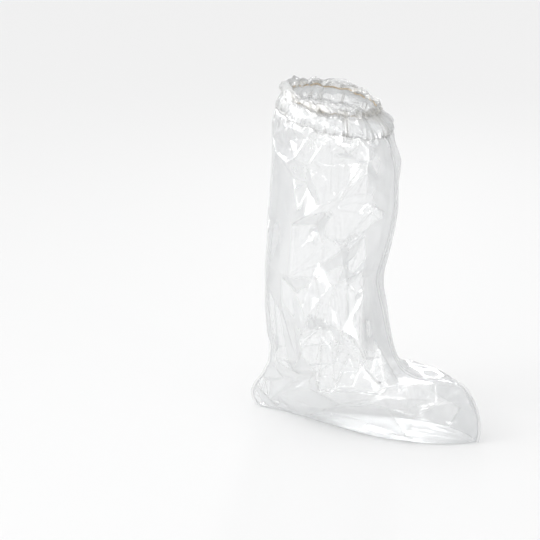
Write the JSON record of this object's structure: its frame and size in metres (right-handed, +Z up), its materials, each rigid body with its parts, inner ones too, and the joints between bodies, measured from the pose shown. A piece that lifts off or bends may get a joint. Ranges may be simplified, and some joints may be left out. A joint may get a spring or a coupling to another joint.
{
  "type": "disposable overboot",
  "caption": "Knee-high clear plastic film overboot with a gathered elastic top, welded down the front and back, with a pointed folded sole.",
  "frame": {"origin": "centre of the elastic's loop in the top opening, where the leg holds the overboot up", "axes": "+Z up the leg, +X towards the toe, +Y to the left side; the right side, at -Y, is the one that faces the camera in the picture"},
  "size_m": [0.3644, 0.1791, 0.4927],
  "materials": {
    "film": "clear, slightly milky, creased",
    "weld": "milky, heat welded",
    "elastic": "amber, matt"
  },
  "bodies": {
    "root": {"right_panel": "film", "left_panel": "film", "sole": "film", "hem_casing": "film", "front_weld": "weld", "back_weld": "weld", "elastic": "elastic"}
  },
  "joints": []
}
